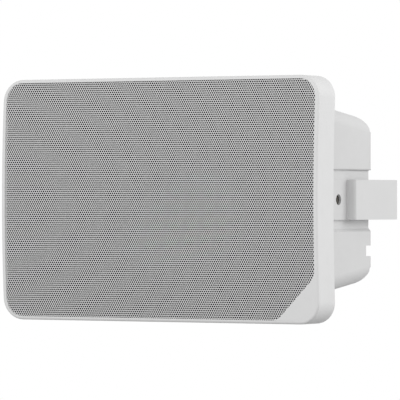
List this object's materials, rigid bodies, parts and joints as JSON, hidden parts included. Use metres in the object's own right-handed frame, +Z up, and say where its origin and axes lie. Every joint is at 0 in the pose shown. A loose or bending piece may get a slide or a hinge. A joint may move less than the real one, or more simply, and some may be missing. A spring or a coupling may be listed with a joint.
{
  "type": "wall speaker",
  "caption": "Rectangular wall speaker with a crowned perforated front, a moulded housing behind it and a folded U bracket that lets it tilt.",
  "frame": {"origin": "middle of the bracket's wall side", "axes": "+Z up, +Y into the wall, the speaker's front faces -Y, +X to the right seen from the front"},
  "size_m": [0.225, 0.1066, 0.15],
  "materials": {
    "shell_plastic": "fine moulded texture, satin",
    "grille_paint": "satin powder coat",
    "bracket_paint": "satin powder coat",
    "acoustic_cloth": "open black weave",
    "seal_rubber": "matt",
    "plated_steel": "zinc plated",
    "driver_steel": "black paint",
    "cone_paper": "pressed fibre",
    "former_film": "amber film",
    "spider_cloth": "varnished cloth",
    "ferrite": "matt grey",
    "winding_wire": "enamelled wire",
    "insert_brass": "turned",
    "lamination_steel": "stacked sheet edges",
    "board_green": "solder mask",
    "terminal_plastic": "moulded",
    "lead_sleeve": "smooth insulation"
  },
  "bodies": {
    "bracket": {"wall_bracket": "bracket_paint"},
    "speaker": {"front_bezel": "shell_plastic", "grille": "grille_paint", "grille_cloth": "acoustic_cloth", "rear_housing": "shell_plastic", "housing_gasket": "seal_rubber", "housing_screws": "plated_steel", "tilt_inserts": "insert_brass", "cable_grommet": "seal_rubber", "driver_basket": "driver_steel", "driver_gasket": "seal_rubber", "driver_screws": "plated_steel", "frame_ring": "seal_rubber", "surround": "seal_rubber", "spider": "spider_cloth", "top_plate": "plated_steel", "magnet": "ferrite", "yoke": "plated_steel", "driver_terminals": "insert_brass", "transformer_core": "lamination_steel", "transformer_winding": "winding_wire", "transformer_screws": "plated_steel", "connection_board": "board_green", "terminal_block": "terminal_plastic", "board_screws": "plated_steel", "supply_leads": "lead_sleeve", "driver_leads": "lead_sleeve"},
    "cone_assembly": {"cone": "cone_paper", "dust_cap": "cone_paper", "coil_former": "former_film", "coil_winding": "winding_wire"}
  },
  "joints": [
    {"name": "tilt", "type": "hinge", "parent": "bracket", "child": "speaker", "pos_m": [0, -0.068, 0], "axis": [1, 0, 0], "range_deg": [-60, 60]},
    {"name": "cone_travel", "type": "slide", "parent": "speaker", "child": "cone_assembly", "axis": [0, -1, 0], "range_m": [-0.003, 0.003], "stiffness_N_per_m": 1200, "deforming": ["surround", "spider"]}
  ]
}
